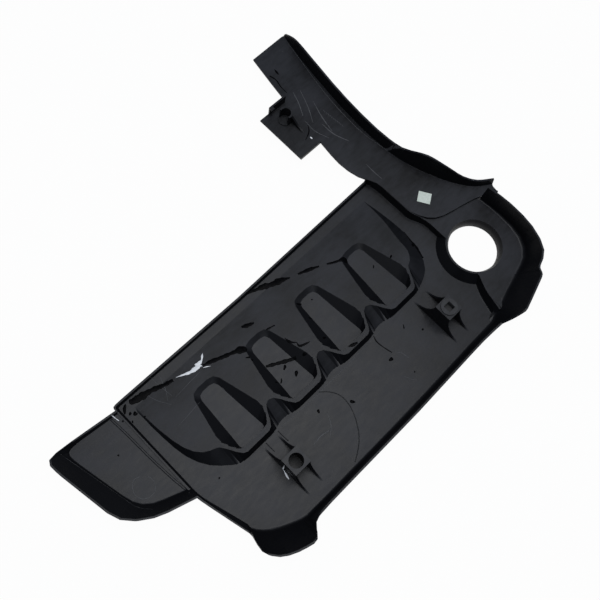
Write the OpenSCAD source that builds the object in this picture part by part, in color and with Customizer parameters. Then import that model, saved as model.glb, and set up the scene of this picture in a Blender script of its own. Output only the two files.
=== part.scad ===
// Engine cover, one plastic moulding, lying on its flat outer face with the underside up.
// X runs along the long straight edge, Y across it and Z up out of the underside.
// The origin is on the axis of the filler opening, in the plane of the outer face.

/* [Moulding] */
// Wall thickness of the moulding
wall = 2.5; // [2.2:0.1:2.8]
// Distance from the filler axis to the far short edge of the plate
plate_far = 487; // [482:1:494]
// Distance from the filler axis to the long straight edge of the plate
plate_side = 168; // [164:1:172]
// Distance from the filler axis to the foot of the long skirt
plate_near = 87; // [84:1:90]
// How far the long straight edge bows inward at its middle
edge_bow = 3; // [0:0.5:5]
// Height of the low lip round the far end and the straight edge
lip_h = 9; // [7:0.5:12]
// Height of the long skirt
skirt_h = 24; // [18:1:30]
// Height of the deep skirt round the filler end
end_skirt_h = 35; // [28:1:40]
// Height of the deep skirt at the far corner
tab_h = 44; // [36:1:50]

/* [Filler opening] */
// Radius of the filler bore
filler_r = 35; // [33:0.5:36.5]
// Length of the filler bore
filler_l = 8; // [6:0.5:11]
// Radius of the opening at the pad
filler_mouth_r = 38; // [37:0.5:39.5]
// Radius of the sloping wall round the opening, at the plate
filler_skirt_r = 51; // [50:0.5:52]

/* [Raised end] */
// Rise of the pad round the filler opening
pad_rise = 13; // [10:0.5:15]
// Rise of the arm
arm_rise = 17; // [16:0.5:20]
// Length of the arm past the filler axis
arm_reach = 405; // [380:1:420]
// Height of the arm's outer wall above the arm
arm_wall_h = 25; // [22:1:30]
// Height of the arm's outer wall at its hump
arm_hump_h = 42; // [36:1:46]

/* [Bed and pockets] */
// Number of pockets
pocket_n = 4; // [1:1:4]
// Spacing of the pockets
pocket_pitch = 88; // [84:1:90]
// Distance from the filler axis to the middle of the pocket row
pocket_row = 258; // [256:1:260]
// Length of a pocket
pocket_l = 93; // [84:1:96]
// Width of a pocket at its narrow end
pocket_narrow_w = 37; // [30:1:40]
// Width of a pocket at its wide end
pocket_wide_w = 70; // [62:1:74]
// How far a pocket's walls lean in towards its floor
pocket_draft = 5; // [3:0.5:6]
// Rise of the bed for each millimetre towards the posts
bed_slope = 0.09; // [0.06:0.01:0.1]

/* [Fixing posts] */
// Distance between the two fixing posts
post_span = 275; // [270:1:280]
// Distance from the filler axis to the nearer post
post_near = 103; // [100:1:106]
// Distance of the posts' line from the filler axis
post_y = 34; // [32:1:38]
// Height of a post above the plate
post_h = 38; // [32:1:42]
// Width of a post's top
post_w = 25; // [24:0.5:27]
// Radius of the hole that holds a rubber grommet
socket_r = 9.3; // [8.5:0.1:9.8]
// Depth of that hole
socket_l = 10; // [8:0.5:14]
// Thickness of a post's gusset ribs
rib_t = 2.2; // [1.8:0.1:2.8]
// Length of a gusset rib at its foot
rib_l = 27; // [20:1:30]

/* [Rubber grommet] */
// Radius of the grommet's flange
grommet_r = 11; // [10.4:0.1:12]
// Thickness of the grommet's flange
grommet_flange = 2; // [1.5:0.1:3]
// Width of the grommet's square socket
grommet_square = 10.5; // [9:0.1:11]
// Clearance between the grommet and its hole
grommet_gap = 0.1; // [0.05:0.05:0.3]

/* [Wing] */
// How far the wing stands out past the plate
wing_reach = 76; // [70:1:80]
// Rise of the wing above the plate
wing_rise = 3.4; // [2.8:0.1:4]
// Height of the wing's skirt
wing_skirt_h = 19; // [14:1:24]

/* [Hose clip] */
// Inner radius of the clip's cup
clip_r = 7; // [5:0.5:8]
// Height of the clip's cup above its tab
clip_h = 20; // [14:1:26]

/* [Paper label] */
// Length of the label
label_l = 18; // [15:1:22]
// Width of the label
label_w = 16; // [10:1:17]
// Thickness of the label
label_t = 0.3; // [0.2:0.1:0.5]

/* [Hidden] */
fine = 64;
tongue = 3;
seam = 0.3;
corner_steps = 2;
roll_steps = 3;
post_top = wall + post_h;
post_xs = [-post_near - post_span, -post_near];
bed_top_y = 150;
bed_crest_y = 15;
pocket_y = 22;

// Rows of a path hold [x, y, out_x, out_y, floor, height, roll, corner].
// The wall of a row stands on the floor at x, y and leans out to x + out_x, y + out_y.
pad_rim_path = [
    [55, 42, 6, -2, pad_rise, end_skirt_h, 5, 0],
    [58, 8, 7, -3, pad_rise, end_skirt_h, 6, 20],
    [53, -34, 9, -4, pad_rise, end_skirt_h, 8, 22],
    [34, -56, 13, -16, pad_rise, end_skirt_h, 9, 14],
    [10, -62, 12, -19, pad_rise, end_skirt_h, 9, 3],
    [5, -63, 14, -27, pad_rise, end_skirt_h, 9, 3],
    [-16, -69, -4, -33, pad_rise, end_skirt_h, 9, 10],
    [-34, -75, -3, -32, pad_rise, end_skirt_h, 9, 4],
    [-46, -79, -7, -23, pad_rise / 2, end_skirt_h - 3, 8, 5],
    [-60, -plate_near + 3, -2, -13, 0, skirt_h + 2, 8, 0]];

// The rim of the plate, from the step round by the far corner to the straight edge
rim_path = [
    [-60, -plate_near + 3, -2, -13, 0, skirt_h + 2, 8, 0],
    [-96, -plate_near + 3, 0, -11, 0, skirt_h, 8, 20],
    [-225, -plate_near, 0, -11, 0, skirt_h, 8, 60],
    [-386, -plate_near + 1, 0, -11, 0, skirt_h, 8, 30],
    [-403, -plate_near + 1, -7, -12, 0, skirt_h + 8, 8, 6],
    [-414, -plate_near + 3, -9, -32, 0, tab_h, 9, 8],
    [-442, -72, -6, -37, 0, tab_h, 10, 12],
    [-458, -60, -10, -38, 0, tab_h, 10, 9],
    [-465, -50, -14, -29, 0, tab_h, 10, 5],
    [-465, -44, -6, -14, 0, lip_h, 6, 3],
    [-482, 16, -6, -1, 0, lip_h, 5, 14],
    [-plate_far + 4, 30, -6, 0, 0, wing_rise + wall + 2, 4, 5],
    [-plate_far + 4, plate_side - 5, -5, 5, 0, wing_rise + wall + 2, 4, 3],
    [-plate_far + 11, plate_side - 5, 0, 5, 0, lip_h, 4, 3],
    [-282, plate_side - 5 - edge_bow, 0, 5, 0, lip_h, 4, 80],
    [-38, plate_side - 4, 0, 5, 0, lip_h, 4, 0]];

// The step between the plate and the raised end
step_path = [
    [-38, plate_side + 2, 4, 0, 0, arm_rise + wall - seam, 3.2, 0],
    [-34, 152, 4, 0, 0, arm_rise + wall - seam, 3.2, 12],
    [-33, 92, 4, 0, 0, arm_rise + wall - seam, 3.2, 6],
    [-23, 70, 4, 0, 0, pad_rise + wall - seam, 3.2, 8],
    [-23, 30, 4, 0, 0, pad_rise + wall - seam, 3.2, 0]];

// The step's other part, from the filler opening to the long skirt
low_step_path = [
    [-34, -34, 8, 2, 0, pad_rise + wall - seam, 4, 0],
    [-44, -52, 9, 2, 0, pad_rise + wall - seam, 4, 10],
    [-56 + tongue, -plate_near + 5, 11, 0, 0, pad_rise + wall - seam, 5, 0]];

// The arm's outer wall, from the free end round to the tip over the filler end
arm_path = [
    [37, arm_reach, 4, -1, arm_rise, arm_wall_h * 0.2, 3.2, 0],
    [33, arm_reach - 16, 5, -2, arm_rise, arm_wall_h * 0.7, 3.2, 10],
    [29, arm_reach - 34, 4, -1, arm_rise, arm_wall_h, 3.2, 14],
    [22, 325, 4, -1, arm_rise, arm_wall_h, 3.2, 30],
    [14, 265, 4, 0, arm_rise, arm_wall_h, 3.2, 30],
    [11, 201, 4, 0, arm_rise, arm_wall_h, 3.2, 30],
    [15, 160, 4, 1, arm_rise, arm_wall_h, 3.2, 12],
    [25, 124, 4, 2, arm_rise, arm_hump_h, 3.2, 10],
    [39, 92, 4, 3, arm_rise, arm_wall_h * 1.2, 3.2, 10],
    [50, 73, 4, 3, arm_rise, arm_wall_h * 0.7, 3.2, 10],
    [64, 56, 3, 4, arm_rise, arm_wall_h * 0.55, 3.2, 8],
    [85, 43, 3, 4, arm_rise, arm_wall_h * 0.45, 3.2, 0]];

// The arm's inner edge, from the tip back to the free end
arm_inner = [[82, 30, 10], [54, 46, 24], [-4, 58, 20], [-20, 70, 14], [-31, 92, 10], [-32, 154, 14],
    [-46, 176, 14], [-51, 208, 30], [-46, 247, 30], [-36, 332, 30], [-23, arm_reach, 10]];

// The wing's skirt, from the plate round its tip and back
wing_path = [
    [-plate_far + 0.7, 157, 0, 5, wing_rise, 6, 4, 0],
    [-plate_far - wing_reach + 16, 164, -3, 6, wing_rise, 7, 4, 16],
    [-plate_far - wing_reach + 4, 163, -25, 7, wing_rise, wing_skirt_h, 6, 5],
    [-plate_far - wing_reach + 3, 152, -24, 0, wing_rise, wing_skirt_h, 6, 8],
    [-plate_far - wing_reach + 20, 66, -27, -7, wing_rise, wing_skirt_h, 6, 16],
    [-plate_far - 42, 50, -10, -17, wing_rise, wing_skirt_h, 6, 14],
    [-plate_far + 0.7, 34, 0, -18, wing_rise, wing_skirt_h, 6, 0]];

// Paths

function blend(a, b, t) = a + (b - a) * t;
function flat_gap(a, b) = norm([b[0] - a[0], b[1] - a[1]]);

// Points of a quadratic curve that cuts corner b of the path a, b, c
function cut_corner(a, b, c, size, steps) =
    let (s = blend(b, a, min(size / flat_gap(a, b), 0.45)),
         e = blend(b, c, min(size / flat_gap(b, c), 0.45)))
    [for (j = [0:steps]) let (t = j / steps) blend(blend(s, b, t), blend(b, e, t), t)];

// A path whose inner rows are rounded by their last value
function soft(path, steps) = let (last = len(path) - 1, size = len(path[0]) - 1)
    concat([path[0]],
        [for (i = [1:last - 1]) each cut_corner(path[i - 1], path[i], path[i + 1], path[i][size], steps)],
        [path[last]]);

// The same for a closed loop, with every corner rounded
function soft_loop(loop, steps) = let (n = len(loop), size = len(loop[0]) - 1)
    [for (i = [0:n - 1])
        each cut_corner(loop[(i + n - 1) % n], loop[i], loop[(i + 1) % n], loop[i][size], steps)];

function backwards(list) = [for (i = [len(list) - 1:-1:0]) list[i]];
function plan(path) = [for (p = path) [eighth(p[0]), eighth(p[1])]];

// A path moved sideways by gap, to the right of the way it runs
function beside(path, gap) = [for (i = [0:len(path) - 1])
    let (a = path[max(i - 1, 0)], b = path[min(i + 1, len(path) - 1)], way = (b - a) / norm(b - a))
    [path[i][0] + gap * way[1], path[i][1] - gap * way[0]]];

// A number to the nearest eighth, so that walls and floors share exact points
function eighth(v) = round(v * 8) / 8;

// The point of a wall row at distance h towards its top, in plan
function along(s, h) = let (d = norm([s[2], s[3]]))
    [eighth(s[0] + s[2] / d * h), eighth(s[1] + s[3] / d * h)];

// Section of a wall as distances out and up, rolled at the foot
function wall_section(s) =
    let (d = norm([s[2], s[3]]), r = max(s[6], wall + 0.6), inner = r - wall)
    concat([[-tongue, 0], [0, 0]],
        [for (i = [1:roll_steps]) let (a = 25 * i) [r * sin(a), r * (1 - cos(a))]],
        [[d, s[5]], [d - wall, s[5]]],
        [for (i = [roll_steps:-1:1]) let (a = 25 * i) [inner * sin(a), r - inner * cos(a)]],
        [[0, wall], [-tongue, wall]]);

// Wall that follows a softened path
module wall_strip(path) {
    m = len(wall_section(path[0]));
    n = len(path);
    points = [for (s = path) each [for (q = wall_section(s)) concat(along(s, q[0]), s[4] + q[1])]];
    sides = [for (i = [0:n - 2]) each [for (j = [0:m - 1]) let (k = (j + 1) % m)
        each [[i * m + j, (i + 1) * m + j, (i + 1) * m + k], [i * m + j, (i + 1) * m + k, i * m + k]]]];
    polyhedron(points, concat(sides, [[for (j = [0:m - 1]) j]],
        [[for (j = [m - 1:-1:0]) (n - 1) * m + j]]));
}

// Solid between two level loops of the same number of points
module loft(low, high) {
    n = len(low);
    sides = [for (i = [0:n - 1]) let (k = (i + 1) % n)
        each [[i, n + i, n + k], [i, n + k, k]]];
    polyhedron(concat(low, high),
        concat(sides, [[for (i = [0:n - 1]) i]], [[for (i = [n - 1:-1:0]) n + i]]));
}

// Plate and rim

pad_rim = soft(pad_rim_path, corner_steps);
rim = soft(rim_path, corner_steps);
step = soft(step_path, corner_steps);
low_step = soft(low_step_path, corner_steps);
arm_wall = soft(arm_path, corner_steps);
arm_edge = soft(arm_inner, corner_steps);
wing = soft(backwards(wing_path), corner_steps);

module plate() {
    floor_edge = concat([for (s = rim) along(s, -tongue)],
        [for (i = [1:len(step) - 1]) along(step[i], -tongue)],
        [for (i = [0:len(low_step) - 2]) along(low_step[i], -tongue)],
        [[-54, -76]]);
    difference() {
        linear_extrude(wall) polygon(floor_edge);
        translate([0, 0, -1]) cylinder(h = wall + 2, r = filler_skirt_r - wall / 2, $fn = fine);
    }
}

module raised_pad() {
    on_step = [for (s = concat(step, low_step))
        if (s[1] < 80 && s[1] > -80) along(s, norm([s[2], s[3]]) - wall - seam)];
    translate([0, 0, pad_rise]) linear_extrude(wall) polygon(concat(on_step, [[-41, -83], [-38, -81.2]],
        [for (s = backwards(pad_rim)) if (s[4] == pad_rise) along(s, -tongue)],
        [[61, 41], [64, 50], [56, 60], [34, 84], [-6, 84]]));
}

pad_top = pad_rise + wall;
seat_r = filler_mouth_r + wall;

// The sloping wall round the opening, on the plate's side only, and the tube inside it
module filler_wall() {
    difference() {
        rotate_extrude($fn = fine) polygon([[filler_skirt_r, wall / 4], [filler_skirt_r, wall - seam],
            [seat_r, pad_top - seam], [filler_r + wall / 2, pad_top - seam],
            [filler_r + wall / 2, pad_rise + seam], [seat_r - wall, pad_rise + seam],
            [filler_skirt_r - wall, 0]]);
        translate([0, 0, -1]) linear_extrude(pad_top + 2) polygon([[-22, 60], [60, 60], [60, -60],
            [-38, -60], [-33, -36], [-20, -30], [-20, 40]]);
    }
    cylinder(h = pad_top - 2 * seam, r = filler_mouth_r + wall / 2, $fn = fine);
}

// The bore with its widening mouth
module filler_cut() {
    rotate_extrude($fn = fine) polygon([[0, -1], [filler_r, -1], [filler_r, filler_l],
        [filler_mouth_r, pad_top], [filler_mouth_r, pad_top + 1], [0, pad_top + 1]]);
}

// Arm with its outer wall, its edge over the pad and the tab that carries the clip

module arm() {
    translate([0, 0, arm_rise]) linear_extrude(wall)
        polygon(concat([for (s = arm_wall) along(s, -tongue)], plan(arm_edge)));
    wall_strip(arm_wall);
    over_pad = [for (p = plan(arm_edge)) if (p[1] < 90 && p[0] > -30) p];
    translate([0, 0, pad_rise + wall / 2]) linear_extrude(arm_rise - pad_rise + wall / 2)
        polygon(concat(over_pad, backwards(plan(beside(over_pad, wall)))));
}

tab_x = -84;
tab_low = 248;
tab_high = 328;

module clip_tab() {
    translate([tab_x, tab_low, arm_rise]) cube([48, tab_high - tab_low, wall]);
    translate([tab_x, tab_low, arm_rise]) cube([38, wall, wall + 3]);
}

module hose_clip() {
    floor_z = arm_rise + wall / 2;
    translate([-58, 306, floor_z]) difference() {
        cylinder(h = clip_h, r = clip_r + wall, $fn = 48);
        translate([0, 0, wall]) cylinder(h = clip_h, r = clip_r, $fn = 48);
        translate([-2 * clip_r - wall, -clip_r * 2, wall]) cube([2 * clip_r, 4 * clip_r, clip_h]);
    }
    translate([-68, 326, floor_z]) cube([30, wall, clip_h * 0.8]);
    translate([-68, 322, floor_z + clip_h * 0.8 - wall]) cube([wall * 2, wall + 4, wall]);
    translate([-49 - wall, 290, floor_z]) rotate([0, -90, 0]) linear_extrude(wall)
        polygon([[0, -18], [0, 8], [clip_h * 0.7, 8], [clip_h * 0.35, -2]]);
}

// Wing outside the far short edge

module far_wing() {
    translate([0, 0, wing_rise]) linear_extrude(wall) polygon(concat([for (s = wing) along(s, -tongue)],
        [[-plate_far + 1.3, 153], [-plate_far + 1.3, 38]]));
    wall_strip(wing);
}

// Bed that rises towards the posts, with a scalloped edge and a pocket for each cylinder

pocket_xs = [for (i = [0:pocket_n - 1]) -pocket_row + (i - (pocket_n - 1) / 2) * pocket_pitch];
valley = pocket_pitch / 2 - 6;
nose = pocket_wide_w / 2 - 12;
valley_y = pocket_y + 21;

function bed_z(y) = wall + bed_slope * (bed_top_y - y);
function tenths(list) = [for (v = list) round(v * 10) / 10];

// Rows of the bed's outline hold [foot x, foot y, crest x, crest y, corner]
bed_far = [[-472, bed_top_y + 6, -468, bed_top_y + 6, 3], [-470, 100, -466, 108, 30],
    [-466, 62, -460, 71, 30], [-452, 32, -448, 51, 20]];
bed_near = [[-68, 20, -80, 46, 12], [-53, 44, -70, 58, 14], [-47, 76, -68, 80, 16],
    [-50, 115, -60, 112, 20], [-56, bed_top_y + 6, -58, bed_top_y + 6, 3]];
bed_front = [for (x = pocket_xs) each [
    [x - valley, bed_crest_y - 4, x - valley, valley_y, 5],
    [x - nose, bed_crest_y - 5.5, x - nose, bed_crest_y, 5],
    [x + nose, bed_crest_y - 5.5, x + nose, bed_crest_y, 5],
    [x + valley, bed_crest_y - 4, x + valley, valley_y, 5]]];

module bed() {
    rows = [for (p = soft_loop(concat(bed_far, bed_front, bed_near), corner_steps)) tenths(p)];
    loft([for (p = rows) [p[0], p[1], wall / 2]], [for (p = rows) [p[2], p[3], bed_z(p[3])]]);
}

// The same bed without its noses, one wall smaller
module bed_inside() {
    far = [for (p = bed_far) [p[0] + wall, p[1], p[2] + wall, p[3], p[4]]];
    near = [for (p = bed_near) [p[0] - wall, p[1], p[2] - wall, p[3], p[4]]];
    front = [for (x = [pocket_xs[0] - valley, pocket_xs[pocket_n - 1] + valley])
        [x, bed_crest_y + 2, x, valley_y + 6, 5]];
    rows = [for (p = soft_loop(concat(far, front, near), corner_steps)) tenths(p)];
    loft([for (p = rows) [p[0], p[1], -1]], [for (p = rows) [p[2], p[3], bed_z(p[3]) - wall]]);
}

// Half rows of a pocket hold [floor x, floor y, x and y where it meets the bed, corner]
function pocket_half(grow) =
    let (low = pocket_y - grow, high = pocket_y + pocket_l + grow, wide = pocket_wide_w / 2 + grow,
        narrow = pocket_narrow_w / 2 + grow)
    [[wide * 0.57 + grow / 2, low + 1, wide * 0.64 + grow / 2, low, 5],
        [wide - 3.4 * pocket_draft, low + 23, wide, low + 23, 9],
        [narrow - pocket_draft, high - 7, narrow, high, 8]];

// Tapered solid that fills a pocket between two heights
module pocket(grow, from, to) {
    right = pocket_half(grow);
    left = [for (p = backwards(right)) [-p[0], p[1], -p[2], p[3], p[4]]];
    rows = soft_loop(concat(right, left), corner_steps);
    function at(p, z) = let (t = (z - wall) / (bed_z(p[3]) - wall))
        [eighth(blend(p[0], p[2], t)), eighth(blend(p[1], p[3], t)), z];
    loft([for (p = rows) at(p, from)], [for (p = rows) at(p, to)]);
}

module each_pocket() {
    for (x = pocket_xs) translate([x, 0, 0]) children();
}

// Fixing posts

function rib_edge(side) = [for (i = [0:6]) let (a = 15 * i)
    [side * (post_w / 2 + rib_l * (1 - sin(a))), (post_h - 5) * (1 - cos(a))]];

module gusset() {
    rotate([90, 0, 90]) translate([0, 0, -rib_t / 2]) linear_extrude(rib_t)
        polygon(concat([[0, -wall / 2], [post_w / 2 + rib_l, -wall / 2]], rib_edge(1),
            backwards(rib_edge(-1)), [[-post_w / 2 - rib_l, -wall / 2]]));
}

module post() {
    translate([-post_w / 2, -post_w / 2, -wall / 2]) difference() {
        cube([post_w, post_w, post_h + wall / 2]);
        translate([wall, wall, -wall])
            cube([post_w - 2 * wall, post_w - 2 * wall, post_h - socket_l + 1.5 * wall]);
        translate([post_w / 2, post_w / 2, wall]) cylinder(h = 2 * post_h, r = socket_r - 1, $fn = 24);
    }
    for (side = [-1, 1]) translate([side * (post_w / 2 - rib_t / 2), 0, 0]) gusset();
}

// One moulding

// Plate with its bed and pockets
module pocket_field() {
    difference() {
        union() {
            plate();
            bed();
        }
        each_pocket() pocket(0, wall, bed_z(bed_crest_y) + 1);
        difference() {
            bed_inside();
            each_pocket() pocket(1.6 * wall, -2, bed_z(bed_crest_y));
        }
    }
}

// The shell is joined as one mesh because its slopes cross at shallow angles; the bores are cut after that
module cover_moulding() {
    color("#26272b") difference() {
        resize([0, 0, 0]) union() {
            pocket_field();
            wall_strip(concat(pad_rim, [for (i = [1:len(rim) - 1]) rim[i]]));
            wall_strip(step);
            wall_strip(low_step);
            union() {
                raised_pad();
                filler_wall();
            }
            union() {
                arm();
                clip_tab();
                hose_clip();
            }
            far_wing();
            for (x = post_xs) translate([x, -post_y, wall]) post();
        }
        filler_cut();
        for (x = post_xs) translate([x, -post_y, post_top - socket_l - wall])
            cylinder(h = socket_l + wall + 1, r = socket_r, $fn = fine);
    }
}

module mount_grommet() {
    neck_r = socket_r - grommet_gap;
    color("#1a1a1c") translate([post_xs[1], -post_y, post_top]) difference() {
        union() {
            cylinder(h = grommet_flange, r = grommet_r, $fn = fine);
            translate([0, 0, -socket_l]) cylinder(h = socket_l + grommet_flange / 2, r = neck_r, $fn = fine);
        }
        translate([-grommet_square / 2, -grommet_square / 2, -socket_l + wall])
            cube([grommet_square, grommet_square, 2 * socket_l]);
    }
}

module paper_label() {
    color("#d5ded2") translate([-1, 94, arm_rise + wall]) rotate([0, 0, -58])
        translate([-label_l / 2, -label_w / 2, 0]) cube([label_l, label_w, label_t]);
}

cover_moulding();
mount_grommet();
paper_label();
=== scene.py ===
import math
import bmesh
import bpy
import numpy as np
from mathutils import Matrix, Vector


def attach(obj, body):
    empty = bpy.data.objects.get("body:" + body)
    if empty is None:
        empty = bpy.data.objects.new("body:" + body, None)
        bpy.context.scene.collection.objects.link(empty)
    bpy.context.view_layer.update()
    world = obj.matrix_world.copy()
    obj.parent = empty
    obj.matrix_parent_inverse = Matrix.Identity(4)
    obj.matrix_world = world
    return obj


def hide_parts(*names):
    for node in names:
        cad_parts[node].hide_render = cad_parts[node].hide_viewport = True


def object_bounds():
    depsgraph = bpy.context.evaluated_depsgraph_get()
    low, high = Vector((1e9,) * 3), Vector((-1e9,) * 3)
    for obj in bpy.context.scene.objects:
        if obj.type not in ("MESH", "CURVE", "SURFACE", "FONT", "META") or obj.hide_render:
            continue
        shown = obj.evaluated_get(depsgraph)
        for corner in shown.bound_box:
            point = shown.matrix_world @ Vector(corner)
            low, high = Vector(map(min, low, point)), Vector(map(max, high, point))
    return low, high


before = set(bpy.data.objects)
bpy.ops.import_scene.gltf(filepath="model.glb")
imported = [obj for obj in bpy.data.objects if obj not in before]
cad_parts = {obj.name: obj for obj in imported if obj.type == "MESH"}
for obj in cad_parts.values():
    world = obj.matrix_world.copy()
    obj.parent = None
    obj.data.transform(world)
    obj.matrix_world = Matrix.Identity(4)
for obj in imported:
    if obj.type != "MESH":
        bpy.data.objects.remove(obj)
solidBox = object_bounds()
print("frame loaded")

mm = 0.001
plateTop = 2.5  # height in mm of the underside's flat floor
armTop = 19.5   # height in mm of the arm's floor
wingTop = 5.9   # height in mm of the wing's floor

cameraView = {
    "place": (-0.5237, -0.0587, 0.9814),
    "right": (0.70325, -0.70457, 0.09498),
    "down": (-0.64922, -0.69088, -0.31812),
    "forward": (0.28976, 0.16205, -0.94328),
    "lens": 47.93,
    "sensor": 36.0,
    "clip": (0.01, 50),
}


def makeCamera(view):
    data = bpy.data.cameras.new("photoCamera")
    data.lens = view["lens"]
    data.sensor_width = view["sensor"]
    data.clip_start, data.clip_end = view["clip"]
    camera = bpy.data.objects.new("photoCamera", data)
    # the camera looks along its own -Z with +Y up, so the columns are right, -down and -forward
    rows = (view["right"], [-x for x in view["down"]], [-x for x in view["forward"]])
    turn = Matrix(rows).transposed()
    camera.matrix_world = Matrix.Translation(view["place"]) @ turn.to_4x4()
    bpy.context.scene.collection.objects.link(camera)
    bpy.context.scene.camera = camera


makeCamera(cameraView)
bpy.context.scene.view_settings.view_transform = "Standard"
print("camera set")


def emptyMaterial(name):
    material = bpy.data.materials.new(name)
    material.use_nodes = True
    tree = material.node_tree
    tree.nodes.clear()
    output = tree.nodes.new("ShaderNodeOutputMaterial")
    return material, tree, output


def addNode(tree, kind, **values):
    # settings go by attribute name, or by socket name where the name starts with a capital
    node = tree.nodes.new(kind)
    for name, value in values.items():
        socketName = name.replace("_", " ")
        if name[0].isupper() and socketName in node.inputs:
            node.inputs[socketName].default_value = value
        else:
            setattr(node, name, value)
    return node


noiseRange = (0.3, 0.7)     # where most of a noise texture's values lie


def noise(tree, coordinates, scale, detail=3.0, roughness=0.5):
    node = addNode(tree, "ShaderNodeTexNoise", Scale=scale, Detail=detail, Roughness=roughness)
    tree.links.new(coordinates, node.inputs["Vector"])
    return node.outputs["Fac"]


def remap(tree, value, low, high, toLow=0.0, toHigh=1.0):
    node = addNode(tree, "ShaderNodeMapRange")
    node.inputs["From Min"].default_value = low
    node.inputs["From Max"].default_value = high
    node.inputs["To Min"].default_value = toLow
    node.inputs["To Max"].default_value = toHigh
    tree.links.new(value, node.inputs["Value"])
    return node.outputs["Result"]


def combine(tree, operation, first, second):
    node = addNode(tree, "ShaderNodeMath", operation=operation)
    for socket, value in zip(node.inputs, (first, second)):
        if isinstance(value, (int, float)):
            socket.default_value = value
        else:
            tree.links.new(value, socket)
    return node.outputs[0]


def blendOf(tree, first, second, share):
    # a share of the first value plus the rest of the second
    most = combine(tree, "MULTIPLY", first, share)
    return combine(tree, "ADD", most, combine(tree, "MULTIPLY", second, 1 - share))


def mixColour(tree, amount, first, second):
    node = addNode(tree, "ShaderNodeMix", data_type="RGBA")
    for name, value in (("Factor", amount), ("A", first), ("B", second)):
        socket = [s for s in node.inputs if s.name == name and s.enabled][0]
        if isinstance(value, tuple):
            socket.default_value = (*value, 1.0)
        elif isinstance(value, (int, float)):
            socket.default_value = value
        else:
            tree.links.new(value, socket)
    return [s for s in node.outputs if s.enabled][0]


def bumpFrom(tree, height, strength, distance, normal=None):
    node = addNode(tree, "ShaderNodeBump", Strength=strength, Distance=distance)
    tree.links.new(height, node.inputs["Height"])
    if normal is not None:
        tree.links.new(normal, node.inputs["Normal"])
    return node.outputs["Normal"]


stageSettings = {
    "floorSize": 6.0,
    "floorGap": 0.0003,     # how far the floor lies under the part, in metres
    "floorColour": (0.62, 0.62, 0.63),
    "seenWhite": 0.97,      # share of plain white in what the camera sees of the floor
    "skyHigh": (0.44, 0.49, 0.58),
    "skyLow": (0.10, 0.105, 0.12),
    "keyPlace": (-0.12, 0.16, 1.75),
    "keyLength": 1.3,
    "keyWidth": 0.85,
    "keyPower": 13.5,
}


def seenDirectly(tree):
    # 1 for camera, glossy and transmission rays, so that gloss shows the same background
    path = addNode(tree, "ShaderNodeLightPath")
    both = combine(tree, "MAXIMUM", path.outputs["Is Camera Ray"], path.outputs["Is Glossy Ray"])
    return combine(tree, "MAXIMUM", both, path.outputs["Is Transmission Ray"])


def makeFloor(s):
    half = s["floorSize"] / 2
    corners = np.array([[-1, -1], [1, -1], [1, 1], [-1, 1]]) * half
    low = min(solidBox[0].z, 0.0) - s["floorGap"]
    points = np.column_stack([corners, np.full(4, low)])
    mesh = bpy.data.meshes.new("floor")
    mesh.from_pydata(points.tolist(), [], [(0, 1, 2, 3)])
    floor = bpy.data.objects.new("floor", mesh)
    bpy.context.scene.collection.objects.link(floor)
    material, tree, output = emptyMaterial("paleFloor")
    matte = addNode(tree, "ShaderNodeBsdfDiffuse", Color=(*s["floorColour"], 1))
    plain = addNode(tree, "ShaderNodeEmission", Color=(1, 1, 1, 1), Strength=1.0)
    blend = addNode(tree, "ShaderNodeMixShader")
    tree.links.new(combine(tree, "MULTIPLY", seenDirectly(tree), s["seenWhite"]), blend.inputs[0])
    tree.links.new(matte.outputs[0], blend.inputs[1])
    tree.links.new(plain.outputs[0], blend.inputs[2])
    tree.links.new(blend.outputs[0], output.inputs["Surface"])
    mesh.materials.append(material)


def makeLight(s):
    world = bpy.data.worlds.new("studio")
    bpy.context.scene.world = world
    world.use_nodes = True
    tree = world.node_tree
    tree.nodes.clear()
    output = tree.nodes.new("ShaderNodeOutputWorld")
    where = addNode(tree, "ShaderNodeTexCoord")
    parts = addNode(tree, "ShaderNodeSeparateXYZ")
    tree.links.new(where.outputs["Generated"], parts.inputs[0])
    height = remap(tree, parts.outputs["Z"], 0.0, 1.0)
    sky = mixColour(tree, height, s["skyLow"], s["skyHigh"])
    soft = addNode(tree, "ShaderNodeBackground", Strength=1.0)
    tree.links.new(sky, soft.inputs["Color"])
    white = addNode(tree, "ShaderNodeBackground", Color=(1, 1, 1, 1), Strength=1.0)
    blend = addNode(tree, "ShaderNodeMixShader")
    path = addNode(tree, "ShaderNodeLightPath")
    tree.links.new(path.outputs["Is Camera Ray"], blend.inputs[0])
    tree.links.new(soft.outputs[0], blend.inputs[1])
    tree.links.new(white.outputs[0], blend.inputs[2])
    tree.links.new(blend.outputs[0], output.inputs["Surface"])
    lamp = bpy.data.lights.new("overheadSoftbox", "AREA")
    lamp.shape = "RECTANGLE"
    lamp.size = s["keyLength"]
    lamp.size_y = s["keyWidth"]
    lamp.energy = s["keyPower"]
    light = bpy.data.objects.new("overheadSoftbox", lamp)
    light.location = s["keyPlace"]
    bpy.context.scene.collection.objects.link(light)


makeFloor(stageSettings)
makeLight(stageSettings)
print("floor and light set")

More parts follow.
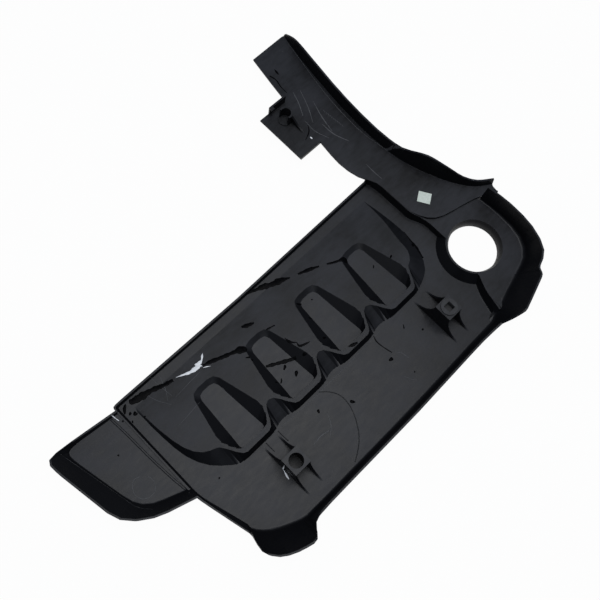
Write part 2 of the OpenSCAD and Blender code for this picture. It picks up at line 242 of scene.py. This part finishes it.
plasticSettings = {
    "dark": (0.004, 0.0042, 0.0052),
    "pale": (0.016, 0.0168, 0.0205),
    "dust": (0.05, 0.051, 0.057),
    "gloss": 0.32,
    "shadedWallGloss": 0.13,              # painted shade: the steep walls get less gloss than the floors, so they look shaded
    "roughLow": 0.34,
    "roughHigh": 0.50,
    "grainScale": 1500.0,
    "blotchScale": 16.0,
    "smearScale": 55.0,
    "smearStretch": (1.0, 3.2, 1.0),
    "smearTurn": (0.0, 0.0, 0.6),
    "speckScale": 420.0,
    "blotchShare": 0.65,            # of the tone, and the rest is smear
    "smearShare": 0.6,              # of the roughness, and the rest is blotch
    "toneRange": (0.40, 0.60),
    "dustFacing": (0.75, 1.0),      # how far the normal rises where dust lies
    "speckRange": (0.66, 0.78),
    "dustPatches": (0.4, 0.7, 0.1, 0.5),    # two blotch values and the dust at each
    "paintedShadeFacing": (0.88, 0.985),   # how far the normal rises between a wall and a floor; the walls below it get painted shade
    "index": 1.45,
    "grainBump": (0.25, 0.0002),    # strength, and distance in metres
    "smearBump": (0.10, 0.001),
}


def makePlastic(name, s):
    material, tree, output = emptyMaterial(name)
    where = addNode(tree, "ShaderNodeTexCoord").outputs["Object"]
    stretch = addNode(tree, "ShaderNodeMapping")
    stretch.inputs["Scale"].default_value = s["smearStretch"]
    stretch.inputs["Rotation"].default_value = s["smearTurn"]
    tree.links.new(where, stretch.inputs["Vector"])
    blotch = noise(tree, where, s["blotchScale"], detail=5.0, roughness=0.55)
    smear = noise(tree, stretch.outputs[0], s["smearScale"], detail=6.0, roughness=0.6)
    grain = noise(tree, where, s["grainScale"], detail=2.0, roughness=0.5)
    speck = noise(tree, where, s["speckScale"], detail=2.0, roughness=0.5)
    tone = blendOf(tree, blotch, smear, s["blotchShare"])
    colour = mixColour(tree, remap(tree, tone, *s["toneRange"]), s["dark"], s["pale"])
    # faint dust lies on what faces up and gathers in specks
    facing = addNode(tree, "ShaderNodeSeparateXYZ")
    tree.links.new(addNode(tree, "ShaderNodeNewGeometry").outputs["Normal"], facing.inputs[0])
    upward = remap(tree, facing.outputs["Z"], *s["dustFacing"])
    specks = remap(tree, speck, *s["speckRange"])
    patches = remap(tree, blotch, *s["dustPatches"])
    dusty = combine(tree, "MULTIPLY", combine(tree, "MULTIPLY", upward, specks), patches)
    colour = mixColour(tree, dusty, colour, s["dust"])
    shader = addNode(tree, "ShaderNodeBsdfPrincipled")
    shader.inputs["IOR"].default_value = s["index"]
    # painted shade: where the normal rises less, the colour goes to dark and the gloss drops,
    # standing in for shade on the walls
    level = remap(tree, facing.outputs["Z"], *s["paintedShadeFacing"])
    gloss = remap(tree, level, 0.0, 1.0, s["shadedWallGloss"], s["gloss"])
    tree.links.new(gloss, shader.inputs["Specular IOR Level"])
    tree.links.new(mixColour(tree, level, s["dark"], colour), shader.inputs["Base Color"])
    uneven = blendOf(tree, smear, blotch, s["smearShare"])
    rough = remap(tree, uneven, *noiseRange, s["roughLow"], s["roughHigh"])
    tree.links.new(rough, shader.inputs["Roughness"])
    normal = bumpFrom(tree, grain, *s["grainBump"])
    normal = bumpFrom(tree, smear, *s["smearBump"], normal)
    tree.links.new(normal, shader.inputs["Normal"])
    tree.links.new(shader.outputs[0], output.inputs["Surface"])
    return material


rubberSettings = {
    "dark": (0.016, 0.016, 0.017),
    "pale": (0.05, 0.05, 0.052),
    "wearScale": 160.0,
    "grainScale": 900.0,
    "wearRange": (0.4, 0.7),
    "grainBump": (0.3, 0.0003),
    "roughLow": 0.6,
    "roughHigh": 0.85,
}


def makeRubber(name, s):
    material, tree, output = emptyMaterial(name)
    where = addNode(tree, "ShaderNodeTexCoord").outputs["Object"]
    worn = noise(tree, where, s["wearScale"], detail=4.0, roughness=0.6)
    shader = addNode(tree, "ShaderNodeBsdfPrincipled")
    colour = mixColour(tree, remap(tree, worn, *s["wearRange"]), s["dark"], s["pale"])
    tree.links.new(colour, shader.inputs["Base Color"])
    rough = remap(tree, worn, *noiseRange, s["roughLow"], s["roughHigh"])
    tree.links.new(rough, shader.inputs["Roughness"])
    grain = noise(tree, where, s["grainScale"], detail=2.0)
    tree.links.new(bumpFrom(tree, grain, *s["grainBump"]), shader.inputs["Normal"])
    tree.links.new(shader.outputs[0], output.inputs["Surface"])
    return material


paperSettings = {
    "dark": (0.60, 0.66, 0.58),
    "pale": (0.74, 0.79, 0.72),
    "stained": (0.42, 0.50, 0.40),
    "fibreScale": 300.0,
    "stainScale": 90.0,
    "fibreRange": (0.35, 0.7),
    "stainRange": (0.55, 0.75, 0.0, 0.5),   # two stain values and the colour's share at each
    "fibreBump": (0.25, 0.0002),
    "roughLow": 0.5,
    "roughHigh": 0.7,
}


def makePaper(name, s):
    material, tree, output = emptyMaterial(name)
    where = addNode(tree, "ShaderNodeTexCoord").outputs["Object"]
    fibre = noise(tree, where, s["fibreScale"], detail=5.0, roughness=0.65)
    stain = noise(tree, where, s["stainScale"], detail=3.0, roughness=0.5)
    paper = mixColour(tree, remap(tree, fibre, *s["fibreRange"]), s["dark"], s["pale"])
    colour = mixColour(tree, remap(tree, stain, *s["stainRange"]), paper, s["stained"])
    shader = addNode(tree, "ShaderNodeBsdfPrincipled")
    tree.links.new(colour, shader.inputs["Base Color"])
    rough = remap(tree, fibre, *noiseRange, s["roughLow"], s["roughHigh"])
    tree.links.new(rough, shader.inputs["Roughness"])
    tree.links.new(bumpFrom(tree, fibre, *s["fibreBump"]), shader.inputs["Normal"])
    tree.links.new(shader.outputs[0], output.inputs["Surface"])
    return material


waterSettings = {
    "dark": (0.001, 0.001, 0.0012),
    "pale": (0.003, 0.003, 0.0036),
    "gloss": 0.04,
    "rippleScale": 220.0,
    "rippleRange": (0.2, 0.8),
    "rippleBump": (0.3, 0.001),
    "index": 1.33,
    "roughLow": 0.2,
    "roughHigh": 0.35,
}


def makeWater(name, s):
    material, tree, output = emptyMaterial(name)
    where = addNode(tree, "ShaderNodeTexCoord").outputs["Object"]
    ripple = noise(tree, where, s["rippleScale"], detail=2.0, roughness=0.4)
    shader = addNode(tree, "ShaderNodeBsdfPrincipled", IOR=s["index"])
    shader.inputs["Specular IOR Level"].default_value = s["gloss"]
    tree.links.new(mixColour(tree, ripple, s["dark"], s["pale"]), shader.inputs["Base Color"])
    rough = remap(tree, ripple, *s["rippleRange"], s["roughLow"], s["roughHigh"])
    tree.links.new(rough, shader.inputs["Roughness"])
    tree.links.new(bumpFrom(tree, ripple, *s["rippleBump"]), shader.inputs["Normal"])
    tree.links.new(shader.outputs[0], output.inputs["Surface"])
    return material


plainSettings = {
    "unevenScale": 500.0,
    "shade": 0.7,
}


def makePlain(name, colour, rough):
    # one colour, a little uneven
    material, tree, output = emptyMaterial(name)
    where = addNode(tree, "ShaderNodeTexCoord").outputs["Object"]
    uneven = noise(tree, where, plainSettings["unevenScale"], detail=3.0, roughness=0.6)
    shader = addNode(tree, "ShaderNodeBsdfPrincipled", Roughness=rough)
    darker = tuple(plainSettings["shade"] * c for c in colour)
    tree.links.new(mixColour(tree, uneven, darker, colour), shader.inputs["Base Color"])
    tree.links.new(shader.outputs[0], output.inputs["Surface"])
    return material


coverPlastic = makePlastic("coverPlastic", plasticSettings)
grommetRubber = makeRubber("grommetRubber", rubberSettings)
labelPaper = makePaper("labelPaper", paperSettings)
wetFilm = makeWater("wetFilm", waterSettings)
# painted highlight: a plain white for the glare painted on the wet streak and the edges
paintedHighlight = makePlain("paintedHighlight", (0.95, 0.96, 0.97), 0.3)
# pale for the scuffs, and for the painted highlights along the bed's foot and the arm's wall
scuffAndHighlightPale = makePlain("scuffAndHighlightPale", (0.055, 0.056, 0.06), 0.6)
print("materials made")

shellSettings = {
    "mergeDistance": 0.00001,
    "flatWithin": 0.6,      # degrees, faces within this lie in one flat
    "bevelWidth": 0.0006,
    "bevelAngle": 32.0,
    "bevelSegments": 2,
    "smoothAngle": 38.0,
    "bedFrom": (-480.0, 12.0),  # low and high plan corners in mm of the bed that holds the pockets
    "bedTo": (-40.0, 160.0),
    "bedSlope": 0.09,
    "bedFoot": 150.0,       # where the sloping bed would come down to the floor, in mm along y
    "onFloor": 0.05,
    "onBed": 0.15,
}


def keepPocketEdges(mesh, s):
    # the pockets' walls are shallow, so their foot on the floor and top on the bed stay sharp
    points = np.empty(len(mesh.vertices) * 3)
    mesh.vertices.foreach_get("co", points)
    x, y, z = (points.reshape(-1, 3) / mm).T
    over = (x > s["bedFrom"][0]) & (x < s["bedTo"][0])
    over &= (y > s["bedFrom"][1]) & (y < s["bedTo"][1])
    foot = over & (np.abs(z - plateTop) < s["onFloor"])
    top = over & (np.abs(z - plateTop - s["bedSlope"] * (s["bedFoot"] - y)) < s["onBed"])
    ends = np.empty(len(mesh.edges) * 2, np.int32)
    mesh.edges.foreach_get("vertices", ends)
    ends = ends.reshape(-1, 2)
    sharp = mesh.attributes.get("sharp_edge") or mesh.attributes.new("sharp_edge", "BOOLEAN", "EDGE")
    marks = np.empty(len(mesh.edges), bool)
    sharp.data.foreach_get("value", marks)
    sharp.data.foreach_set("value", marks | foot[ends].all(1) | top[ends].all(1))


def makeShell(nodeName, pieceName, s):
    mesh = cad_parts[nodeName].data.copy()
    mesh.name = pieceName
    work = bmesh.new()
    work.from_mesh(mesh)
    bmesh.ops.remove_doubles(work, verts=work.verts, dist=s["mergeDistance"])
    bmesh.ops.dissolve_limit(work, angle_limit=math.radians(s["flatWithin"]),
                             verts=work.verts, edges=work.edges)
    work.to_mesh(mesh)
    work.free()
    mesh.materials.clear()
    mesh.materials.append(coverPlastic)
    mesh.polygons.foreach_set("use_smooth", np.ones(len(mesh.polygons), bool))
    mesh.polygons.foreach_set("material_index", np.zeros(len(mesh.polygons), np.int32))
    mesh.set_sharp_from_angle(angle=math.radians(s["smoothAngle"]))
    keepPocketEdges(mesh, s)
    piece = bpy.data.objects.new(pieceName, mesh)
    bpy.context.scene.collection.objects.link(piece)
    bevel = piece.modifiers.new("softEdges", "BEVEL")
    bevel.width = s["bevelWidth"]
    bevel.segments = s["bevelSegments"]
    bevel.limit_method = "ANGLE"
    bevel.angle_limit = math.radians(s["bevelAngle"])
    bevel.use_clamp_overlap = True
    bevel.miter_outer = "MITER_ARC"
    even = piece.modifiers.new("evenShade", "WEIGHTED_NORMAL")
    even.keep_sharp = True
    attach(piece, "root")
    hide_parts(nodeName)


makeShell("cover_moulding", "coverShell", shellSettings)
for nodeName, material in (("mount_grommet", grommetRubber), ("paper_label", labelPaper)):
    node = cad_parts[nodeName]
    node.data.materials.clear()
    node.data.materials.append(material)
print("moulding, grommet and label dressed")

# points measured on the photo are carried down the camera's rays to a level of the part
pictureWidth = 600
focal = pictureWidth * cameraView["lens"] / cameraView["sensor"]


def fromPicture(rows, height):
    rows = np.array(rows, float)
    axes = [np.array(cameraView[k]) for k in ("place", "right", "down", "forward")]
    across = (rows[:, :1] - pictureWidth / 2) / focal
    down = (rows[:, 1:2] - pictureWidth / 2) / focal
    rays = axes[3] + across * axes[1] + down * axes[2]
    share = (height * mm - axes[0][2]) / rays[:, 2:3]
    return (axes[0] + rays * share)[:, :2] / mm


def upwardTriangles(nodeName, leastUp):
    # the corners in mm of the triangles whose normals rise by at least that share
    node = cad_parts[nodeName]
    mesh = node.data
    mesh.calc_loop_triangles()
    points = np.empty(len(mesh.vertices) * 3)
    mesh.vertices.foreach_get("co", points)
    corners = np.empty(len(mesh.loop_triangles) * 3, np.int32)
    mesh.loop_triangles.foreach_get("vertices", corners)
    place = np.array(node.matrix_world)
    points = (points.reshape(-1, 3) @ place[:3, :3].T + place[:3, 3]) / mm
    faces = points[corners.reshape(-1, 3)]
    area = np.cross(faces[:, 1] - faces[:, 0], faces[:, 2] - faces[:, 0])
    return faces[area[:, 2] > leastUp * np.linalg.norm(area, axis=1)]


topFaces = upwardTriangles("cover_moulding", 0.02)
heightSettings = {"atOnce": 400, "tolerance": 1e-6}


def heightsAt(x, y):
    # the highest upward face over each plan point, by barycentric shares against every face at once
    a, b, c = topFaces[:, 0], topFaces[:, 1], topFaces[:, 2]
    whole = (b[:, 0] - a[:, 0]) * (c[:, 1] - a[:, 1]) - (c[:, 0] - a[:, 0]) * (b[:, 1] - a[:, 1])
    flat = np.stack([np.ravel(x), np.ravel(y)], 1)
    near = heightSettings["tolerance"]
    found = []
    for part in np.array_split(flat, max(1, len(flat) // heightSettings["atOnce"])):
        px, py = part[:, :1], part[:, 1:]
        second = ((px - a[:, 0]) * (c[:, 1] - a[:, 1]) - (c[:, 0] - a[:, 0]) * (py - a[:, 1])) / whole
        third = ((b[:, 0] - a[:, 0]) * (py - a[:, 1]) - (px - a[:, 0]) * (b[:, 1] - a[:, 1])) / whole
        inside = (second > -near) & (third > -near) & (second + third < 1 + near)
        level = a[:, 2] + second * (b[:, 2] - a[:, 2]) + third * (c[:, 2] - a[:, 2])
        found.append(np.where(inside, level, 0).max(1))
    return np.concatenate(found).reshape(np.shape(x))


def smoothRows(rows, count):
    # Catmull-Rom curve through the rows, at evenly spaced shares of the way
    p = np.array(rows, float)
    p = np.vstack([2 * p[0] - p[1], p, 2 * p[-1] - p[-2]])
    t = np.linspace(0, len(rows) - 1 - 1e-9, count)
    i = t.astype(int)
    f = (t - i)[:, None]
    a, b, c, d = p[i], p[i + 1], p[i + 2], p[i + 3]
    square, cube = 2 * a - 5 * b + 4 * c - d, 3 * b - a - 3 * c + d
    return 0.5 * (2 * b + (c - a) * f + square * f ** 2 + cube * f ** 3)


def ringQuads(n, m):
    # faces between n closed rings of m points each
    grid = np.arange(n * m).reshape(n, m)
    nextOne = np.roll(grid, -1, axis=1)
    quads = np.stack([grid[:-1], nextOne[:-1], nextOne[1:], grid[1:]], -1).reshape(-1, 4)
    return grid, nextOne, quads.tolist()


ribbonSettings = {
    "rowStep": 1.5,         # mm between rows along a run
    "fewestRows": 8,
    "mostRows": 90,
    "waveSteps": (1.3, 2.9, 5.7),
    "leastHalf": 0.12,
    "sunk": 0.12,           # how far a piece reaches under the surface, in mm
    "around": 12,
}


def ribbonMesh(rows, height, rise, wobble, seed):
    # a lens section swept along the curve on the part: across is w cos a, up is rise sin a
    s = ribbonSettings
    plan = fromPicture(np.array(rows)[:, :2], height)
    length = np.linalg.norm(np.diff(plan, axis=0), axis=1).sum()
    count = int(np.clip(length / s["rowStep"], s["fewestRows"], s["mostRows"]))
    line = smoothRows(np.column_stack([plan, np.array(rows)[:, 2]]), count)
    way = np.gradient(line[:, :2], axis=0)
    way /= np.linalg.norm(way, axis=1)[:, None]
    along = np.cumsum(np.r_[0, np.linalg.norm(np.diff(line[:, :2], axis=0), axis=1)])
    draw = np.random.default_rng(seed)
    waves = [np.sin(along / step + draw.uniform(0, 6.3)) for step in s["waveSteps"]]
    half = np.maximum(line[:, 2] * (1 + wobble * sum(waves) / len(waves)), s["leastHalf"])
    angle = np.linspace(0, 2 * np.pi, s["around"], endpoint=False)
    x = line[:, :1] - way[:, 1:] * half[:, None] * np.cos(angle)
    y = line[:, 1:2] + way[:, :1] * half[:, None] * np.cos(angle)
    up = np.sin(angle)
    z = heightsAt(x, y) + np.where(up > 0, rise * up, s["sunk"] * up)
    grid, nextOne, quads = ringQuads(*x.shape)
    ends = [grid[0, ::-1].tolist(), grid[-1].tolist()]
    return np.stack([x, y, z], -1).reshape(-1, 3), quads + ends


dropSettings = {
    "around": 20,
    "rings": (1.0, 0.86, 0.6, 0.3),
    "twoLobes": 0.16,
    "threeLobes": 0.12,
    "sunk": 0.12,
}


def dropMesh(drop, height, rise, seed):
    # a dome over a wavy outline: out is r times the outline's radius, up is rise (1 - r squared)
    s = dropSettings
    px, py, long, short, turn = drop
    centre = fromPicture([(px, py)], height)[0]
    angle = np.linspace(0, 2 * np.pi, s["around"], endpoint=False)
    draw = np.random.default_rng(seed)
    edge = 1 + s["twoLobes"] * np.sin(2 * angle + draw.uniform(0, 6.3))
    edge = edge + s["threeLobes"] * np.sin(3 * angle + draw.uniform(0, 6.3))
    share = np.array(s["rings"])[:, None]
    u, v = share * edge * long * np.cos(angle), share * edge * short * np.sin(angle)
    x = centre[0] + u * np.cos(turn) - v * np.sin(turn)
    y = centre[1] + u * np.sin(turn) + v * np.cos(turn)
    z = heightsAt(x, y) + rise * (1 - share ** 2)
    middle = heightsAt(*centre)
    poles = [[*centre, middle + rise], [*centre, middle - s["sunk"]]]
    grid, nextOne, quads = ringQuads(*x.shape)
    caps = np.stack([grid[-1], nextOne[-1], np.full(x.shape[1], x.size)], 1).tolist()
    caps += np.stack([nextOne[0], grid[0], np.full(x.shape[1], x.size + 1)], 1).tolist()
    return np.vstack([np.stack([x, y, z], -1).reshape(-1, 3), poles]), quads + caps


def layPiece(name, parts, material):
    # closed meshes in mm joined into one piece, with their normals turned outward
    starts = np.cumsum([0] + [len(part[0]) for part in parts])
    points = np.vstack([part[0] for part in parts]) * mm
    faces = [[int(start) + k for k in face]
             for start, part in zip(starts, parts) for face in part[1]]
    mesh = bpy.data.meshes.new(name)
    mesh.from_pydata(points.tolist(), [], faces)
    work = bmesh.new()
    work.from_mesh(mesh)
    bmesh.ops.recalc_face_normals(work, faces=work.faces)
    work.to_mesh(mesh)
    work.free()
    mesh.materials.append(material)
    mesh.polygons.foreach_set("use_smooth", np.ones(len(mesh.polygons), bool))
    piece = bpy.data.objects.new(name, mesh)
    bpy.context.scene.collection.objects.link(piece)
    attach(piece, "root")
    return piece


def layRuns(name, s, material):
    parts = [ribbonMesh(rows, level, s["rise"], s["wobble"], s["seed"] + k)
             for k, (level, rows) in enumerate(s["runs"])]
    return layPiece(name, parts, material)


# a run is the level in mm it lies on, then rows of photo x, photo y and half width in mm
wetStreaks = {
    "rise": 0.3,
    "wobble": 0.35,
    "seed": 10,
    "runs": [
        (3, [(129, 400, 1.0), (133, 401, 4.5), (142, 396, 4.2), (152, 390, 3.6), (164, 385, 2.6),
             (173, 380, 1.8)]),
        (4, [(202, 366, 1.6), (210, 362, 2.6), (222, 357.5, 2.4), (234, 352.5, 3.2),
             (242, 350, 4.6), (247, 351, 2.0)]),
        (3, [(266, 366.5, 1.2), (275, 364, 2.4), (286, 361, 2.6), (296, 358, 1.8)]),
        (4, [(247, 294, 0.4), (256, 289.5, 2.0), (263, 286.5, 3.6), (272, 284, 4.2),
             (281, 280, 3.6), (290, 277.5, 0.8)]),
        (4, [(298, 274, 1.2), (303, 272, 2.4), (311, 269, 2.2), (319, 266.5, 1.2)]),
        (4, [(326.5, 264.5, 1.2), (333, 263, 1.6), (340, 260.8, 2.6), (344, 260, 3.8),
             (347, 263, 1.2)]),
        (4, [(241.5, 327, 1.4), (246, 326, 2.8), (250, 324.5, 2.2), (254, 322.8, 0.8)]),
        (5, [(266, 330, 0.8), (270, 328, 1.2), (274.5, 325.5, 1.0)]),
        (plateTop, [(373.5, 336, 0.6), (377, 342, 0.8), (384, 347.5, 0.8), (392, 352.5, 0.5)]),
        (plateTop, [(284.5, 339.5, 0.5), (290, 343.5, 1.6), (296, 344, 0.8), (299, 347.5, 1.6),
                    (306, 345, 1.2), (309, 343, 0.4)]),
        (plateTop, [(346, 349, 0.6), (351, 347.6, 2.2), (356, 345, 1.2)]),
        (plateTop, [(404, 232, 0.5), (410, 240, 1.0), (416, 247, 1.6), (423, 258, 1.2)]),
        (armTop, [(269.5, 75.8, 0.8), (276, 80, 0.9), (281, 87, 0.8), (287, 93, 0.3)]),
        (armTop, [(274.5, 69.5, 0.5), (276.5, 72, 1.4), (278.5, 74.5, 0.8)]),
        (armTop, [(308, 125, 0.4), (309, 131, 1.0), (307.5, 136, 0.6), (305.5, 140, 0.3)]),
    ],
}

# a spot is photo x, photo y, its two half widths in mm and its turn in radians
wetDrops = {
    "rise": 0.6,
    "level": 4,
    "seed": 50,
    "spots": [
        (135.1, 413.5, 3.0, 2.4, 0.3), (145, 416.5, 1.2, 1.0, 0), (123, 421.6, 1.4, 1.0, 1.2),
        (132.5, 421.6, 1.8, 1.0, 0.9), (124.5, 409.0, 5.5, 2.4, 0.8), (130, 413.5, 2.6, 1.4, 0.5),
        (118.5, 455.6, 1.4, 1.0, 0), (219.3, 478, 1.6, 0.9, 0.5), (284.9, 367, 3.2, 2.0, 0.6),
        (296.4, 373.1, 4.2, 2.0, 0.9), (281.4, 380.8, 3.0, 1.2, 0.7), (276.5, 382, 1.6, 1.4, 0),
        (304, 355.2, 2.8, 2.2, 0.2), (391.3, 359, 3.0, 2.4, 0.4), (352.6, 401.4, 3.6, 2.0, 1.9),
        (318.6, 411, 2.4, 1.8, 0.8), (390, 258.3, 3.2, 1.2, 0.2), (373.7, 266.3, 2.4, 1.0, 0.9),
        (312.1, 299.2, 1.2, 1.0, 0), (324, 338.4, 2.6, 1.6, 0.1), (310.2, 318, 2.4, 1.2, 2.2),
        (299, 304.2, 3.2, 1.8, 2.4), (412.7, 245.3, 2.4, 1.8, 0.6), (248, 358, 3.0, 1.2, 2.6),
        (252, 360.5, 1.8, 1.0, 2.4), (404, 326.5, 3.0, 0.9, 0.9), (423, 329, 1.8, 1.2, 0),
        (415, 371.5, 1.4, 0.8, 0.4),
    ],
}
layRuns("wetStreaks", wetStreaks, wetFilm)
drops = [dropMesh(spot, wetDrops["level"], wetDrops["rise"], wetDrops["seed"] + k)
         for k, spot in enumerate(wetDrops["spots"])]
layPiece("wetDrops", drops, wetFilm)
print("wet streaks and drops laid")

# painted highlights: white glare painted on the wet streak, on the posts' edges and on a few other
# edges
paintedGlare = {
    "rise": 0.35,
    "wobble": 0.5,
    "seed": 90,
    "runs": [
        (3, [(176, 377.5, 0.4), (183, 375, 1.2), (190, 372.5, 2.2), (196, 368.5, 2.4),
             (200, 366, 1.4), (203, 366.5, 0.3)]),
        (3, [(195, 365.5, 2.0), (199, 363.5, 2.2), (201.5, 360.5, 1.0), (202, 357, 1.2),
             (202.5, 353.5, 0.4)]),
        (3, [(203, 368, 0.3), (207, 367, 0.5), (211, 366.5, 0.2)]),
        (wingTop, [(112, 415.6, 0.6), (115, 418, 0.7), (119, 421, 0.4)]),
        (plateTop, [(282.5, 468, 0.2), (285, 472.5, 0.7), (287.5, 477, 1.1), (289, 479.5, 0.3)]),
        (armTop, [(310, 137, 0.4), (311.2, 137.8, 1.0), (312.4, 138.6, 0.4)]),
    ],
}
layRuns("paintedGlare", paintedGlare, paintedHighlight)

# scratches and scuffs rubbed into the plastic, and the faint moulded lines beside the posts
marks = {
    "rise": 0.09,
    "wobble": 0.3,
    "seed": 120,
    "runs": [
        (4, [(150, 377, 0.2), (160, 386, 0.35), (172, 396, 0.2)]),
        (4, [(158, 373, 0.2), (165, 388, 0.35), (168, 401, 0.2)]),
        (4, [(143, 392, 0.2), (156, 400, 0.3), (172, 405, 0.15)]),
        (4, [(176, 397, 0.2), (190, 382, 0.3), (200, 372, 0.15)]),
        (4, [(200, 402, 0.2), (188, 416, 0.3), (178, 427, 0.15)]),
        (4, [(222, 387, 0.2), (229, 395, 0.35), (236, 401, 0.2)]),
        (armTop, [(293, 92, 0.3), (299, 104, 0.8), (303, 116, 0.4)]),
        (armTop, [(300, 90, 0.3), (308, 107, 0.6), (313, 123, 0.3)]),
        (armTop, [(313, 101, 0.3), (322, 117, 0.8), (332, 131, 0.4)]),
        (armTop, [(322, 124, 0.3), (334, 134, 0.9), (349, 141, 0.4)]),
        (armTop, [(305, 121, 0.3), (315, 131, 0.5), (329, 138, 0.3)]),
        (armTop, [(366, 164, 0.3), (373, 171, 0.6), (382, 179, 0.3)]),
        (plateTop, [(330, 440, 0.2), (331, 425, 0.5), (327, 412, 0.3)]),
        (plateTop, [(313, 446, 0.3), (321, 436, 0.9), (330, 430, 0.4)]),
        (plateTop, [(404, 376, 0.2), (411, 379, 0.35), (418, 380, 0.15)]),
        (plateTop, [(395, 352, 0.2), (402, 353, 0.4), (410, 359, 0.2)]),
        (wingTop, [(141, 476, 0.3), (134, 480, 0.4), (132.5, 487, 0.4), (135, 495, 0.4),
                   (143, 499, 0.4), (151, 496, 0.4), (155.5, 489, 0.4), (153, 480, 0.4),
                   (147, 476, 0.3)]),
    ],
}
# thin pale lines along the bed's foot and the arm's wall, painted highlights along those feet, and
# short dashes across the arm
marks["runs"] += [
    (plateTop, [(249, 459, 0.2), (277, 430.5, 0.3), (295, 415, 0.3), (312.4, 399.6, 0.35),
                (327.6, 384.6, 0.35), (349.3, 363, 0.3), (371, 340.5, 0.25), (380, 331.5, 0.2)]),
    (armTop, [(286.5, 41, 0.2), (304, 65, 0.3), (321, 88, 0.3), (339, 109.5, 0.35),
              (361, 131.5, 0.3), (380, 145.5, 0.25), (400, 158.5, 0.2)]),
]
marks["runs"] += [(armTop, [(x, y, 0.15), (x + 1.2, y + 1.8, 0.35), (x + 2.0, y + 3.4, 0.15)])
                  for x, y in zip(np.linspace(323, 341, 9), np.linspace(109.5, 123.5, 9))]
layRuns("scuffsAndHighlightLines", marks, scuffAndHighlightPale)

# raised lines moulded in the floor: round the left post's pad, on the plate and along the wing
ridges = {
    "rise": 0.55,
    "wobble": 0.0,
    "seed": 150,
    "runs": [
        (plateTop, [(319, 392, 0.5), (330, 392, 0.6), (341, 396, 0.6), (350, 406, 0.6),
                    (356, 420, 0.6), (359, 436, 0.6), (358, 450, 0.6), (355, 462, 0.5)]),
        (plateTop, [(278, 431, 0.6), (283, 436, 0.6), (288.5, 441, 0.5)]),
        (plateTop, [(266, 443, 0.6), (270, 447, 0.6), (274.5, 451.5, 0.5)]),
        (wingTop, [(111, 419.5, 1.5), (128, 435.5, 1.6), (150, 457.5, 1.6), (172, 478, 1.6),
                   (190, 493, 1.4)]),
        (wingTop, [(62, 455, 0.9), (80, 467, 1.0), (100, 481, 1.0), (120, 495, 1.0),
                   (137, 506.5, 1.0), (154, 509.5, 0.8)]),
    ],
}
layRuns("ridges", ridges, coverPlastic)

# a small web closes the corner between the plate, the step's end and the skirt's foot
cornerWeb = {
    "centre": fromPicture([(488.7, 316.4)], plateTop)[0],
    "half": 4.5,
    "low": 0.4,
    "high": plateTop - 0.02,
}


def webMesh(s):
    # a block with its four corners at the centre plus and minus half, between two heights
    square = np.array([[-1, -1], [1, -1], [1, 1], [-1, 1]]) * s["half"] + s["centre"]
    points = np.vstack([np.column_stack([square, np.full(4, s[k])]) for k in ("low", "high")])
    sides = [[0, 1, 5, 4], [1, 2, 6, 5], [2, 3, 7, 6], [3, 0, 4, 7]]
    return points, [[3, 2, 1, 0], [4, 5, 6, 7]] + sides


web = layPiece("cornerWeb", [webMesh(cornerWeb)], coverPlastic).data
web.polygons.foreach_set("use_smooth", np.zeros(len(web.polygons), bool))
print("marks and corner web laid")
